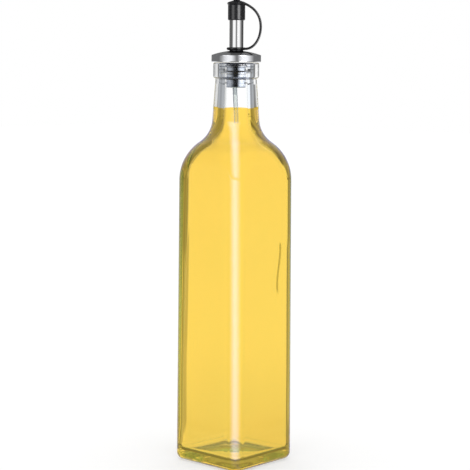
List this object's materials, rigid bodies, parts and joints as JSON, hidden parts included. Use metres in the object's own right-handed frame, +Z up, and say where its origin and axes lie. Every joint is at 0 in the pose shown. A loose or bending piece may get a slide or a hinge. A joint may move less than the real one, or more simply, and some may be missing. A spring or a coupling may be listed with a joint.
{
  "type": "oil dispenser bottle",
  "caption": "Tall square clear glass bottle filled with yellow oil, with a steel pourer, domed collar and a tethered black rubber cap.",
  "frame": {"origin": "middle of the bottle's foot, on the surface that it stands on", "axes": "+Z up along the neck; the flat sides face X and Y; the cap's strap points between +X and +Y"},
  "size_m": [0.0582, 0.0582, 0.305],
  "materials": {
    "glass": "clear, smooth",
    "oil": "clear golden yellow liquid",
    "clear_tube": "clear plastic",
    "silver_plug": "smooth silver",
    "polished_steel": "polished",
    "spout_steel": "polished",
    "black_rubber": "smooth, slightly shiny"
  },
  "bodies": {
    "root": {"bottle": "glass", "oil": "oil", "vent_tube": "clear_tube", "stopper": "silver_plug", "collar": "polished_steel", "spout": "spout_steel", "dust_cap": "black_rubber"}
  },
  "joints": []
}
